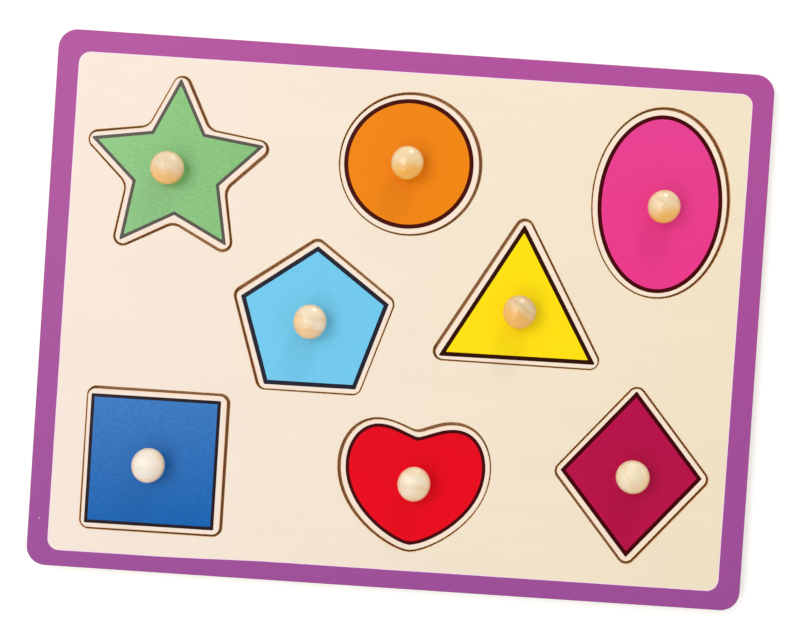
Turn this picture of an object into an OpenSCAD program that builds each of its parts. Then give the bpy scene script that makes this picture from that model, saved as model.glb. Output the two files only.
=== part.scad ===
// Shape puzzle: a two-layer plywood board with eight cut-outs, and eight flat pieces that lift out by a
// turned knob. The origin is at the middle of the underside. The board's length runs along X.

/* [Board] */
// Length of the board, left to right
board_length = 300; // [280:5:360]
// Width of the board, near edge to far edge
board_width = 225; // [210:5:270]
// Thickness of the top board, which the shapes are cut out of
top_thickness = 5; // [4:0.5:8]
// Thickness of the backing board, which closes the cut-outs
backing_thickness = 3; // [2:0.5:6]
// Radius of the board's four corners
board_corner = 8; // [4:0.5:12]

/* [Pieces] */
// Gap between a piece and the wall of its cut-out when it lies in the middle
fit_gap = 0.85; // [0.6:0.05:1.2]
// Bare wood on a piece outside its printed figure
bare_margin = 2.1; // [1.6:0.1:2.8]
// Radius of the corners that point outwards on a piece
corner_radius = 3.2; // [2.6:0.1:4.5]
// Radius of the corners that point inwards on a piece
notch_radius = 6.5; // [4:0.5:8]

/* [Printed figures] */
// Star, centre to tip
star_radius = 38; // [32:0.5:40]
// Star, centre to inner corner
star_waist = 19; // [16:0.5:21]
// Circle, centre to edge
circle_radius = 27; // [22:0.5:32]
// Ellipse, side to side
ellipse_width = 52; // [44:0.5:58]
// Ellipse, end to end
ellipse_height = 74.2; // [62:0.1:80]
// Pentagon, centre to corner
pentagon_radius = 32.5; // [27:0.5:36]
// Triangle, centre to corner
triangle_radius = 37.8; // [32:0.1:41]
// Square, side to side
square_side = 54.2; // [45:0.1:60]
// Heart, side to side
heart_width = 58.5; // [49:0.5:64]
// Heart, top of the lobes to tip
heart_height = 49.6; // [42:0.1:55]
// Diamond, corner to corner across
diamond_width = 59.2; // [50:0.1:64]
// Diamond, corner to corner along
diamond_height = 69.6; // [58:0.1:74]

/* [Knobs] */
// Diameter of a knob's head
knob_head = 14; // [12:0.5:16]
// Height of a knob above its piece
knob_height = 12; // [11:0.5:18]
// Radius of the low dome on top of a knob
knob_dome = 9.5; // [9:0.5:12]
// Radius of the rounded edge between a knob's dome and its widest ring
knob_shoulder = 3.2; // [2.4:0.1:4]
// Diameter of a knob's neck
knob_neck = 8; // [7:0.5:10]
// Height of the neck, from the piece to the head
knob_neck_height = 4.4; // [3.5:0.1:4.8]
// Width that the foot of the neck spreads by, on each side
knob_foot_flare = 0.8; // [0.4:0.1:1.5]

/* [Screws and pins] */
// Outer diameter of a knob screw's thread
screw_thread = 3; // [2.5:0.1:3.5]
// Diameter of a knob screw's head
screw_head = 5.6; // [5:0.1:7]
// Length of a knob screw, head and point included
screw_length = 12; // [11:0.5:14]
// Length of a knob screw's point
screw_point = 1.6; // [1:0.1:2.5]
// Depth of a knob screw's head below the underside of its piece
screw_sink = 0.3; // [0.1:0.1:0.6]
// Diameter of a panel pin
pin_diameter = 0.7; // [0.6:0.1:1.6]
// Length of a panel pin
pin_length = 6.5; // [5:0.5:7]
// Distance of a panel pin from the board's side edge
pin_from_side = 4.7; // [3:0.1:6]
// Distance of a panel pin from the board's near edge
pin_from_near_edge = 19.7; // [12:0.1:30]

/* [Hidden] */
// The eight figures, in reading order
SHAPES = ["star", "circle", "ellipse", "pentagon", "triangle", "square", "heart", "diamond"];

// Centre of each cut-out, as shares of the board's length and width
place_shares = [
    [-0.3235, 0.2504],
    [0.0008, 0.2913],
    [0.3524, 0.2500],
    [-0.1210, -0.0152],
    [0.1654, 0.0282],
    [-0.3286, -0.2924],
    [0.0340, -0.3062],
    [0.3378, -0.2595]
];
// How far each piece lies off the middle of its cut-out, as shares of the gap
rest_shares = [
    [-0.35, 0.20],
    [-0.48, -0.28],
    [-0.50, -0.32],
    [0.38, -0.42],
    [0.36, -0.40],
    [-0.45, -0.20],
    [0.42, -0.15],
    [-0.08, 0.20]
];
// How far each piece is turned in its cut-out, in degrees
rest_turns = [0.4, 0, 0.3, 0.2, 0, 0.2, -0.8, 0];
// How far each knob stands off the middle of its piece, as shares of the knob's head
knob_shares = [
    [-0.21, 0.02],
    [-0.07, 0.01],
    [0.06, -0.11],
    [-0.08, 0.06],
    [-0.04, 0.06],
    [-0.09, -0.07],
    [-0.01, 0.12],
    [-0.03, -0.01]
];
// Colour of each printed figure
figure_colours = ["mediumseagreen", "darkorange", "hotpink", "skyblue", "gold", "royalblue", "red", "crimson"];

// Half a heart, notch to tip, as three curves. The shares are of half the width and half the height
heart_notch_shares = [0, 0.82];
heart_notch_pull_shares = [0.16, 0.87];
heart_top_shares = [0.54, 1];
heart_top_pull_shares = [-0.20, 0.30];
heart_side_shares = [1, 0.32];
heart_side_pull_shares = [0.35, -0.76];
heart_tip_pull_shares = [0.28, -0.97];
heart_tip_shares = [0, -1];

// Steps that each rounded corner, heart curve and knob arc is drawn with
corner_steps = 8;
curve_steps = 12;
ellipse_steps = 96;
knob_steps = 12;
round_steps = 64;

// Length that a cut runs past the face it starts from
overrun = 1;
// Gap round the panel pins, and between a screw and its countersink
pin_gap = 0.03;
screw_gap = 0.05;
// Pilot hole that the screw's thread bites into, as a share of the thread's diameter
pilot_share = 0.8;
// Length and width of the slots that cross in a screw's head, as shares of the head's diameter
cross_shares = [0.5, 0.14];
// Depth of the cross, as a share of the cone under the head
cross_depth_share = 0.75;
// Height of the cove at a knob's foot, as a share of the neck
cove_share = 0.2;
// Height of the whole board
board_height = backing_thickness + top_thickness;
// Height of the cone under a screw's head, which has a right angle at its point
screw_cone = (screw_head - screw_thread) / 2;

// The entry of a table that belongs to one figure
function of_shape(table, shape) = table[search([shape], SHAPES)[0]];

// Centre of a cut-out on the board
function cut_out_place(shape) =
    let (share = of_shape(place_shares, shape))
    [share.x * board_length, share.y * board_width];

// Centre of a piece where it lies in its cut-out
function piece_place(shape) = cut_out_place(shape) + fit_gap * of_shape(rest_shares, shape);

// Place of a knob on the board
function knob_place(shape) = piece_place(shape) + knob_head * of_shape(knob_shares, shape);

function unit(v) = v / norm(v);

// Signed angle from one direction to the next, positive to the left
function bend(before, after) = atan2(cross(before, after), before * after);

// Corners of a figure that repeats round its centre, the first one at the top
function ring(radii, count) = [
    for (i = [0:count - 1])
        let (angle = 90 + 360 * i / count)
        radii[i % len(radii)] * [cos(angle), sin(angle)]
];

// Outline of a figure with its sides moved out by grow and its corners rounded
function rounded(points, grow, outward, inward) =
    let (count = len(points))
    [
        for (i = [0:count - 1])
            let (
                here = points[i],
                before = unit(here - points[(i + count - 1) % count]),
                after = unit(points[(i + 1) % count] - here),
                angle = bend(before, after),
                radius = angle > 0 ? outward : -inward,
                first = atan2(-before.x, before.y),
                middle = first + angle / 2,
                centre = here + (grow - radius) / cos(angle / 2) * [cos(middle), sin(middle)]
            )
            for (k = [0:corner_steps])
                let (a = first + angle * k / corner_steps)
                centre + radius * [cos(a), sin(a)]
    ];

// Outline of the ellipse moved out by grow
function grown_ellipse(grow) = [
    for (k = [0:ellipse_steps - 1])
        let (
            t = 360 * k / ellipse_steps,
            half = [ellipse_width / 2, ellipse_height / 2]
        )
        [half.x * cos(t), half.y * sin(t)] + grow * unit([half.y * cos(t), half.x * sin(t)])
];

// Point of a curve with four control points, and its direction there
function curve_point(c, t) =
    pow(1 - t, 3) * c[0] + 3 * pow(1 - t, 2) * t * c[1] + 3 * (1 - t) * t * t * c[2] + pow(t, 3) * c[3];
function curve_way(c, t) =
    unit(pow(1 - t, 2) * (c[1] - c[0]) + 2 * (1 - t) * t * (c[2] - c[1]) + t * t * (c[3] - c[2]));

// Right half of the printed heart: each entry is a point and the direction out of the heart there
function heart_half() =
    let (
        size = [heart_width / 2, heart_height / 2],
        at = function (share) [share.x * size.x, share.y * size.y],
        top = at(heart_top_shares),
        side = at(heart_side_shares),
        curves = [
            [
                at(heart_notch_shares),
                at(heart_notch_pull_shares),
                top + [heart_top_pull_shares[0] * size.x, 0],
                top
            ],
            [
                top,
                top + [heart_top_pull_shares[1] * size.x, 0],
                side + [0, heart_side_pull_shares[0] * size.y],
                side
            ],
            [
                side,
                side + [0, heart_side_pull_shares[1] * size.y],
                at(heart_tip_pull_shares),
                at(heart_tip_shares)
            ]
        ]
    )
    [
        for (i = [0:len(curves) - 1])
            for (k = [(i == 0 ? 0 : 1):curve_steps])
                let (
                    t = k / curve_steps,
                    way = curve_way(curves[i], t)
                )
                [curve_point(curves[i], t), [-way.y, way.x]]
    ];

// Outline of the heart moved out by grow, with a round notch
function grown_heart(grow, inward) =
    let (
        half = heart_half(),
        reach = grow + inward,
        off_axis = [for (entry = half) (entry[0] + reach * entry[1]).x],
        kept = [for (i = [0:len(half) - 1]) if (off_axis[i] > 0) i],
        next = kept[0],
        mix = off_axis[next] / (off_axis[next] - off_axis[next - 1]),
        start = half[next] + mix * (half[next - 1] - half[next]),
        centre = [0, (start[0] + reach * start[1]).y],
        last = atan2(-start[1].y, -start[1].x),
        notch = [
            for (k = [0:corner_steps])
                let (a = -90 + (last + 90) * k / corner_steps)
                centre + inward * [cos(a), sin(a)]
        ],
        right = concat(notch, [for (i = kept) half[i][0] + grow * half[i][1]]),
        count = len(right)
    )
    concat(right, [for (i = [count - 1:-1:1]) [-right[i].x, right[i].y]]);

// Flat outline of a piece, or with a gap that of its cut-out
module figure(shape, gap) {
    grow = bare_margin + gap;
    outward = corner_radius + gap;
    inward = notch_radius - gap;
    half_square = square_side / 2;
    if (shape == "star") polygon(rounded(ring([star_radius, star_waist], 10), grow, outward, inward));
    if (shape == "circle") circle(r = circle_radius + grow, $fn = round_steps);
    if (shape == "ellipse") polygon(grown_ellipse(grow));
    if (shape == "pentagon") polygon(rounded(ring([pentagon_radius], 5), grow, outward, inward));
    if (shape == "triangle") polygon(rounded(ring([triangle_radius], 3), grow, outward, inward));
    if (shape == "square") polygon(rounded(ring([half_square * sqrt(2)], 4), grow, outward, inward));
    if (shape == "heart") polygon(grown_heart(grow, inward));
    if (shape == "diamond")
        polygon(rounded(ring([diamond_height / 2, diamond_width / 2], 4), grow, outward, inward));
}

// Square figures stand on a side, not on a corner
function own_turn(shape) = shape == "square" ? 45 : 0;

// One sheet of the board
module sheet(thickness) {
    half = [board_length / 2, board_width / 2];
    corners = [half, [-half.x, half.y], -half, [half.x, -half.y]];
    linear_extrude(thickness) polygon(rounded(corners, 0, board_corner, board_corner));
}

module backing_board() {
    color("burlywood")
        difference() {
            sheet(backing_thickness);
            pin_holes();
        }
}

module top_board() {
    color("blanchedalmond")
        difference() {
            translate([0, 0, backing_thickness]) sheet(top_thickness);
            for (shape = SHAPES) cut_out(shape);
            pin_holes();
        }
}

// The space that one piece drops into
module cut_out(shape) {
    translate([0, 0, backing_thickness - overrun])
        linear_extrude(top_thickness + 2 * overrun)
            translate(cut_out_place(shape))
                rotate(own_turn(shape))
                    figure(shape, fit_gap);
}

// Something at each of the two panel pins
module at_pins() {
    for (side = [-1, 1])
        translate([side * (board_length / 2 - pin_from_side), pin_from_near_edge - board_width / 2, 0])
            children();
}

module pin_holes() {
    at_pins()
        translate([0, 0, board_height - pin_length])
            cylinder(d = pin_diameter + 2 * pin_gap, h = pin_length + overrun, $fn = round_steps);
}

module panel_pins() {
    color("silver")
        at_pins()
            translate([0, 0, board_height - pin_length])
                cylinder(d = pin_diameter, h = pin_length, $fn = round_steps);
}

// A flat piece, with a countersunk hole for its knob's screw
module piece(shape) {
    color(of_shape(figure_colours, shape))
        difference() {
            translate([0, 0, backing_thickness])
                linear_extrude(top_thickness)
                    translate(piece_place(shape))
                        rotate(own_turn(shape) + of_shape(rest_turns, shape))
                            figure(shape, 0);
            translate(knob_place(shape))
                translate([0, 0, backing_thickness])
                    screw_hole();
        }
}

// Hole and countersink, from the underside of a piece
module screw_hole() {
    shank = screw_thread / 2 + screw_gap;
    mouth = screw_head / 2 + screw_gap;
    rotate_extrude($fn = round_steps)
        polygon([
            [0, -overrun],
            [mouth, -overrun],
            [mouth, screw_sink],
            [shank, screw_sink + mouth - shank],
            [shank, top_thickness + overrun],
            [0, top_thickness + overrun]
        ]);
}

// A turned knob, standing on its piece, with a blind pilot hole from below
module knob(shape) {
    neck = knob_neck / 2;
    head = knob_head / 2;
    cove = cove_share * knob_neck;
    pilot = pilot_share * screw_thread / 2;
    pilot_depth = screw_sink + screw_length - top_thickness + screw_gap;
    shoulder_middle = head - knob_shoulder;
    dome_middle = knob_height - knob_dome;
    belly = dome_middle + sqrt(pow(knob_dome - knob_shoulder, 2) - pow(shoulder_middle, 2));
    lean = asin(shoulder_middle / (knob_dome - knob_shoulder));
    meet = acos(neck / head);
    underside = (belly - knob_neck_height) / sin(meet);
    foot_arc = [
        for (k = [0:knob_steps])
            let (a = 90 * k / knob_steps)
            [neck + knob_foot_flare * (1 - sin(a)), cove * (1 - cos(a))]
    ];
    underside_arc = [
        for (k = [0:knob_steps])
            let (a = meet * (k / knob_steps - 1))
            [head * cos(a), belly + underside * sin(a)]
    ];
    shoulder_arc = [
        for (k = [1:knob_steps])
            let (a = (90 - lean) * k / knob_steps)
            [shoulder_middle + knob_shoulder * cos(a), belly + knob_shoulder * sin(a)]
    ];
    dome_arc = [
        for (k = [1:knob_steps])
            let (a = 90 - lean * (1 - k / knob_steps))
            [knob_dome * cos(a), dome_middle + knob_dome * sin(a)]
    ];
    color("wheat")
        translate(knob_place(shape))
            translate([0, 0, board_height])
                rotate_extrude($fn = round_steps)
                    polygon(concat(
                        [[pilot, 0]],
                        foot_arc,
                        underside_arc,
                        shoulder_arc,
                        dome_arc,
                        [[0, pilot_depth], [pilot, pilot_depth]]
                    ));
}

// A countersunk screw with a cross in its head, pointing up into the knob
module knob_screw(shape) {
    thread = screw_thread / 2;
    head = screw_head / 2;
    cross_depth = cross_depth_share * screw_cone;
    cross_size = [cross_shares[0] * screw_head, cross_shares[1] * screw_head, cross_depth + overrun];
    color("gainsboro")
        translate(knob_place(shape))
            translate([0, 0, backing_thickness + screw_sink])
                difference() {
                    rotate_extrude($fn = round_steps)
                        polygon([
                            [0, 0],
                            [head, 0],
                            [thread, screw_cone],
                            [thread, screw_length - screw_point],
                            [0, screw_length]
                        ]);
                    for (turn = [0, 90])
                        rotate(turn)
                            translate([0, 0, (cross_depth - overrun) / 2])
                                cube(cross_size, center = true);
                }
}

backing_board();
top_board();
panel_pins();
for (shape = SHAPES) {
    piece(shape);
    knob(shape);
    knob_screw(shape);
}
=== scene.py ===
"""A wooden peg puzzle seen from above: a cut-out plywood board with a printed border, and eight printed plywood
shapes that lift out by turned knobs. Sizes are in millimetres until a mesh is made of them."""

import math

import bpy
from mathutils import Matrix, Vector, noise
from mathutils.geometry import delaunay_2d_cdt


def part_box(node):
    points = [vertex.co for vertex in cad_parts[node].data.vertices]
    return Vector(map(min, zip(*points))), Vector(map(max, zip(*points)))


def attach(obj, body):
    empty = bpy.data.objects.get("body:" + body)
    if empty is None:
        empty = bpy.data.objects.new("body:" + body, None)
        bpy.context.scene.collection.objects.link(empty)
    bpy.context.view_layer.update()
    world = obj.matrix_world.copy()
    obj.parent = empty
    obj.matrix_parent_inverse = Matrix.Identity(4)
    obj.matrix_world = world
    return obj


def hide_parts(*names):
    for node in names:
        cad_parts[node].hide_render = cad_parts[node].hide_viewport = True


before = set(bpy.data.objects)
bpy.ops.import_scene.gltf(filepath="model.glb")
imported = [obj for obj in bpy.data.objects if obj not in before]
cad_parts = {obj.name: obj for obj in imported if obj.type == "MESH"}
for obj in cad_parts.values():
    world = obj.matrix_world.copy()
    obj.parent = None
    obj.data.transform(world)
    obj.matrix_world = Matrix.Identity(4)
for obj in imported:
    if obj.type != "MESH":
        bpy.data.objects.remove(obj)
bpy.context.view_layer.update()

MM = 0.001


# Sizes

# Figures, as on the CAD part: corners of the straight ones, from the centre of the figure
STAR_TIP, STAR_WAIST = 38, 19
PENTAGON_TIP = 32.5
TRIANGLE_TIP = 37.8
SQUARE_SIDE = 54.2
DIAMOND_WIDTH, DIAMOND_HEIGHT = 59.2, 69.6
CIRCLE_RADIUS = 27
ELLIPSE_WIDTH, ELLIPSE_HEIGHT = 52, 74.2
HEART_WIDTH, HEART_HEIGHT = 58.5, 49.6
# Half a heart, notch to tip, as three curves of four points. The shares are of half the width and half the height
HEART_CURVES = [
    [(0, 0.82), (0.16, 0.87), (0.34, 1), (0.54, 1)],
    [(0.54, 1), (0.84, 1), (1, 0.67), (1, 0.32)],
    [(1, 0.32), (1, -0.44), (0.28, -0.97), (0, -1)],
]
# Bare wood round the figure, the gap round a piece, and the radii of a piece's outer and inner corners
MARGIN, GAP = 2.1, 0.85
CORNER, NOTCH = 3.2, 6.5
# The dark line lies inside the figure's edge, and its ink spreads out past it. Screen print rounds its own corners
INK_SPREAD = 0.1
LINE_CORNER, FILL_CORNER, PRINT_NOTCH = 0.45, 0.25, 0.4
# Edges broken by sanding: on the outside of the board, and where the laser cut
SANDED_EDGE, CUT_EDGE = 0.45, 0.2
# Corners of the board, and of the bare panel inside the printed border
BOARD_CORNER, PANEL_CORNER = 8, 5
# The panel's corners as they lie in the photograph: the print is a little off square and waves at lower left
PANEL = [(141.2, 103.95), (-141.0, 103.5), (-141.4, -105.8), (-88, -105.6), (-52, -104.8), (140.7, -104.7)]
# How far the pale undercoat shows past the border's ink
UNDERCOAT = 0.3
# The two holes for the panel pins: radius, depth below the face, and places
PIN_HOLE, PIN_DEPTH = 0.38, 6.5
PINS = [(-145.3, -92.8), (145.3, -92.8)]
# Plywood: the core ply of the top board and of the backing board, and a glue line
TOP_CORE, BACKING_CORE, GLUE_LINE = 2.8, 1.4, 0.14

# Each shape: centre of its cut-out; how the piece lies off it and is turned; how its print lies off the piece and
# is turned; the fill's ink at the top and the bottom of the print, how mottled and how shiny it dried; the line's ink
# and width; how oval its knob has dried (long and short axis as shares, direction of the long one); the roughness of
# the knob's lacquer; and the knob's wood, as turned_wood takes it
SHAPES = {
    # Painted sheen: the star's fill is a deep green and its line near black, both drawn lighter and greyer, as the
    # lamps' reflection shows them
    "star": dict(
        cut=(-97.05, 56.34), rest=(-0.2975, 0.17), turn=0.4, print_off=(-0.01, 0.33), print_turn=0.2,
        fill=("#7CBE6C", "#7FBE74"), mottle=0.11, shine=0.5, line="#5A544C", line_width=1.38,
        oval=(1.014, 0.993, 170), lacquer=0.36,
        wood=dict(pale="#EDD8B4", dark="#DAB384", rings_from=200, ring_width=2.2, contrast=0.25,
                  shade_warmth=0.7, shaded_side=-100, begins=-2),
    ),
    "circle": dict(
        cut=(0.24, 65.5425), rest=(-0.408, -0.238), turn=0, print_off=(-0.34, 0.25), print_turn=0,
        fill=("#EE8400", "#F08500"), mottle=0.03, shine=0.2, line="#4A0C02", line_width=1.78,
        oval=(1.01, 0.97, 82), lacquer=0.2,
        wood=dict(pale="#F1DAAC", dark="#DBB978", rings_from=120, ring_width=1.6, contrast=0.3,
                  shade_warmth=0.95, shaded_side=-80, begins=-2.5),
    ),
    "ellipse": dict(
        cut=(105.72, 56.25), rest=(-0.425, -0.272), turn=0.3, print_off=(0.1, -0.28), print_turn=0.3,
        fill=("#E63F90", "#EB388A"), mottle=0.03, shine=0.2, line="#4A0408", line_width=1.7,
        oval=(1.0, 0.965, 64), lacquer=0.22,
        wood=dict(pale="#F1DAB0", dark="#D9B47C", rings_from=60, ring_width=2.2, contrast=0.35,
                  shade_warmth=0.9, shaded_side=-72, begins=-1.8),
    ),
    "pentagon": dict(
        cut=(-36.3, -3.42), rest=(0.323, -0.357), turn=0.2, print_off=(0.07, -0.09), print_turn=0.1,
        fill=("#6EC9ED", "#70CAF0"), mottle=0.04, shine=0.4, line="#242432", line_width=1.84,
        oval=(1.035, 0.99, 85), lacquer=0.26,
        wood=dict(pale="#F7E6CA", dark="#E2BE8C", rings_from=268, ring_width=2.8, contrast=0.4,
                  shade_warmth=0.42, shaded_side=-130, begins=-2),
    ),
    "triangle": dict(
        cut=(49.62, 6.345), rest=(0.306, -0.34), turn=0, print_off=(-0.05, -0.4), print_turn=0.4,
        fill=("#FDE100", "#FFE006"), mottle=0.03, shine=0.2, line="#341002", line_width=1.8,
        oval=(1.0, 0.985, 80), lacquer=0.3,
        wood=dict(pale="#E6D0A2", dark="#C08C4C", rings_from=55, ring_width=3.4, contrast=0.5,
                  shade_warmth=0.78, shaded_side=-115, begins=-3.5),
    ),
    # Painted sheen: the lighter blue at the top of the square's fill stands in for the lamps' reflection there
    "square": dict(
        cut=(-98.58, -65.79), rest=(-0.3825, -0.17), turn=0.2, print_off=(-0.52, -0.14), print_turn=0,
        fill=("#3477C0", "#0061B0"), mottle=0.15, shine=0.25, line="#261822", line_width=1.4,
        oval=(1.045, 0.985, 73), lacquer=0.5,
        wood=dict(pale="#F8EEE2", dark="#EEDFC8", rings_from=90, ring_width=2.6, contrast=0.3,
                  shade_warmth=0.12, shaded_side=-10, begins=-1),
    ),
    "heart": dict(
        cut=(10.2, -68.895), rest=(0.357, -0.1275), turn=-0.8, print_off=(0.03, 0.17), print_turn=-0.28,
        fill=("#E6001C", "#EC0019"), mottle=0.03, shine=0.15, line="#48060A", line_width=1.45,
        oval=(1.03, 0.975, 86), lacquer=0.38,
        wood=dict(pale="#F7E8CE", dark="#E8CCA4", rings_from=268, ring_width=3.0, contrast=0.4,
                  shade_warmth=0.25, shaded_side=-40, begins=-1),
    ),
    "diamond": dict(
        cut=(101.34, -58.3875), rest=(-0.068, 0.17), turn=0, print_off=(-0.14, 0.3), print_turn=0,
        fill=("#B80A4A", "#BA0C46"), mottle=0.05, shine=0.2, line="#460208", line_width=1.7,
        oval=(1.014, 0.99, 149), lacquer=0.36,
        wood=dict(pale="#F5E6C8", dark="#E6CC9C", rings_from=30, ring_width=3.0, contrast=0.35,
                  shade_warmth=0.3, shaded_side=-40, begins=-1),
    ),
}

# A turned knob's profile, as on the CAD part, and the mark that the lathe's centre leaves on top
KNOB_HEAD, KNOB_HEIGHT, KNOB_DOME, KNOB_SHOULDER = 14, 12, 9.5, 3.2
KNOB_NECK, KNOB_NECK_HEIGHT, KNOB_FLARE, KNOB_COVE = 8, 4.4, 0.8, 1.6
KNOB_PILOT, KNOB_PILOT_DEPTH = 2.4, 7.35
CENTRE_MARK, CENTRE_MARK_DEPTH = 0.7, 0.16
KNOB_FACETS = 96
# Edges of a knob that bend by more than this many degrees stay sharp
KNOB_CREASE = 40
# The countersunk hole under each knob: radius of its mouth and shank, and the straight part of the mouth
HOLE_MOUTH, HOLE_SHANK, HOLE_SINK = 2.85, 1.55, 0.3

# Steps that each rounded corner, heart curve, turned arc and broken edge is drawn with, and each round outline
CORNER_STEPS, CURVE_STEPS, ARC_STEPS, BREAK_STEPS = 12, 20, 12, 4
ROUND_STEPS, ELLIPSE_STEPS, HOLE_STEPS, PIN_STEPS = 128, 144, 48, 24
# A pale orange band on the backing board, out from a cut-out's edge and in from it: painted warm bounce light from the
# browned walls on the floor of the gap
WARM_BAND_OUT, WARM_BAND_IN = 0.3, 1.9
# Screen-printed edges: the distance between points, how far they stray, and the length of their short and long waves
PRINT_STEP, PRINT_STRAY, PRINT_SHORT_WAVE, PRINT_LONG_WAVE = 0.8, 0.05, 1.1, 9
# Half the height over which a figure's ink drifts in colour, and the border's
FIGURE_REACH, BORDER_REACH = 28, 110


# Levels of the sheets, from the CAD part

low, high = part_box("top_board")
BOARD_LENGTH, BOARD_WIDTH = (high.x - low.x) / MM, (high.y - low.y) / MM
MIDDLE, FACE = low.z / MM, high.z / MM


# Camera, lamps and floor

scene = bpy.context.scene
scene.view_settings.view_transform = "Standard"

# Fitted to the four corners of the board in the photograph: 0.75 m above it, turned by 3.8 degrees
CAMERA_PLACE, CAMERA_TURN = (1.04, 10.85, 758.28), (-0.841, 0.123, 3.826)
LENS, SENSOR = 80.63, 36

camera_data = bpy.data.cameras.new("camera")
camera_data.lens, camera_data.sensor_width = LENS, SENSOR
camera = bpy.data.objects.new("camera", camera_data)
camera.location = Vector(CAMERA_PLACE) * MM
camera.rotation_euler = [math.radians(angle) for angle in CAMERA_TURN]
scene.collection.objects.link(camera)
scene.camera = camera


def softbox(name, place, length, width, share):
    """A soft lamp aimed at the middle of the board, its length level. The shares of all lamps and the white room
    add up to the light at which a colour renders about as it is written."""
    lamp = bpy.data.lights.new(name, "AREA")
    lamp.shape, lamp.size, lamp.size_y = "RECTANGLE", length * MM, width * MM
    away = Vector(place) * MM
    lamp.energy = share * math.pi ** 2 * away.length_squared / away.normalized().z
    holder = bpy.data.objects.new(name, lamp)
    holder.location = away
    holder.rotation_euler = away.to_track_quat("Z", "Y").to_euler()
    scene.collection.objects.link(holder)


softbox("left_softbox", (-1000, 370, 2200), length=1150, width=1330, share=0.27)
softbox("lower_left_softbox", (-946, -1144, 1980), length=660, width=660, share=0.075)
softbox("back_softbox", (200, 810, 400), length=170, width=170, share=0.08)

# Settings of a Map Range that starts and ends gently, and of a Mix of two colours
GENTLE = dict(interpolation_type="SMOOTHSTEP")
COLOURS = dict(data_type="RGBA")


def add(tree, kind, links=None, **settings):
    """Adds a node. Settings are its properties. Links give its inputs a value or another node's output. An input goes
    by its name, or by its number. In a Map Range 0 is the value, 1 and 2 the range it comes from, 3 and 4 the range
    it goes to. In a Mix 0 is the share, and 2 and 3 its two ends, or 6 and 7 if they are colours."""
    made = tree.nodes.new(kind)
    for name, value in settings.items():
        setattr(made, name, value)
    for name, value in (links or {}).items():
        if isinstance(value, bpy.types.NodeSocket):
            tree.links.new(value, made.inputs[name])
        else:
            made.inputs[name].default_value = value
    return made


def linear(code):
    """An sRGB hex colour as the linear colour that a shader reads."""
    parts = [int(code[i:i + 2], 16) / 255 for i in (1, 3, 5)]
    return [c / 12.92 if c <= 0.04045 else ((c + 0.055) / 1.055) ** 2.4 for c in parts] + [1]


# Light that the pale floor gives to what stands on it
FLOOR_GLOW = 0.7

# A white room that lights the object, a little less from low down. The lens looks down through a dark hood, so that
# flat ink mirrors no light from above and keeps its full colour. The camera sees white all round
world = bpy.data.worlds.new("white_room")
world.use_nodes = True
scene.world = world
tree = world.node_tree
direction = add(tree, "ShaderNodeTexCoord").outputs["Generated"]
rise = add(tree, "ShaderNodeSeparateXYZ", {0: direction}).outputs["Z"]
walls = add(tree, "ShaderNodeMapRange", {0: rise, 1: 0.2, 2: 0.85, 3: 0.4, 4: 0.82}, **GENTLE).outputs[0]
hood = add(tree, "ShaderNodeMapRange", {0: rise, 1: 0.82, 2: 0.95, 3: 1, 4: 0.6}, **GENTLE).outputs[0]
lit = add(tree, "ShaderNodeMath", {0: walls, 1: hood}, operation="MULTIPLY").outputs[0]
# The underside is lit as by the pale floor, also where the floor is taken away
from_below = add(tree, "ShaderNodeMapRange", {0: rise, 1: 0, 2: -0.1, 3: 0, 4: FLOOR_GLOW}).outputs[0]
lit = add(tree, "ShaderNodeMath", {0: lit, 1: from_below}, operation="MAXIMUM").outputs[0]
mirrored = add(tree, "ShaderNodeMapRange", {0: rise, 1: 0.2, 2: 0.85, 3: 1, 4: 0.04}, **GENTLE).outputs[0]
rays = add(tree, "ShaderNodeLightPath").outputs
strength = add(tree, "ShaderNodeMix", {0: rays["Is Glossy Ray"], 2: lit, 3: mirrored}).outputs[0]
strength = add(tree, "ShaderNodeMix", {0: rays["Is Camera Ray"], 2: strength, 3: 1}).outputs[0]
tree.links.new(strength, tree.nodes["Background"].inputs["Strength"])
tree.nodes["Background"].inputs["Color"].default_value = (1, 1, 1, 1)


def new_material(name):
    """A material with its node tree and its Principled shader."""
    material = bpy.data.materials.new(name)
    material.use_nodes = True
    return material, material.node_tree, material.node_tree.nodes["Principled BSDF"]


# White paper floor. The camera sees it white with the object's soft shadow. Other rays meet an even pale floor,
# which lights the sides and the underside, and from below it isn't there
material, tree, shader = new_material("white_paper_floor")
tree.nodes.remove(shader)
paper = add(tree, "ShaderNodeBsdfDiffuse", {"Color": linear("#F4F4F4")}).outputs[0]
lift = add(tree, "ShaderNodeEmission", {"Color": linear("#FFFFFF"), "Strength": 0.25}).outputs[0]
near = add(tree, "ShaderNodeAddShader", {0: paper, 1: lift}).outputs[0]
# Beyond the shadow, from 0.3 m to 1.2 m off the middle, the paper fades into the white of the background
spot = add(tree, "ShaderNodeTexCoord").outputs["Object"]
away = add(tree, "ShaderNodeVectorMath", {0: spot}, operation="LENGTH").outputs["Value"]
far = add(tree, "ShaderNodeMapRange", {0: away, 1: 0.3, 2: 1.2}, **GENTLE).outputs[0]
white = add(tree, "ShaderNodeEmission", {"Color": linear("#FFFFFF")}).outputs[0]
seen = add(tree, "ShaderNodeMixShader", {0: far, 1: near, 2: white}).outputs[0]
even = add(tree, "ShaderNodeEmission", {"Color": linear("#FFFFFF"), "Strength": FLOOR_GLOW}).outputs[0]
rays = add(tree, "ShaderNodeLightPath").outputs
looked = add(tree, "ShaderNodeMath", {0: rays["Is Camera Ray"], 1: rays["Is Glossy Ray"]},
             operation="MAXIMUM").outputs[0]
looked = add(tree, "ShaderNodeMath", {0: looked, 1: rays["Is Transmission Ray"]}, operation="MAXIMUM").outputs[0]
above = add(tree, "ShaderNodeMixShader", {0: looked, 1: even, 2: seen}).outputs[0]
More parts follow.
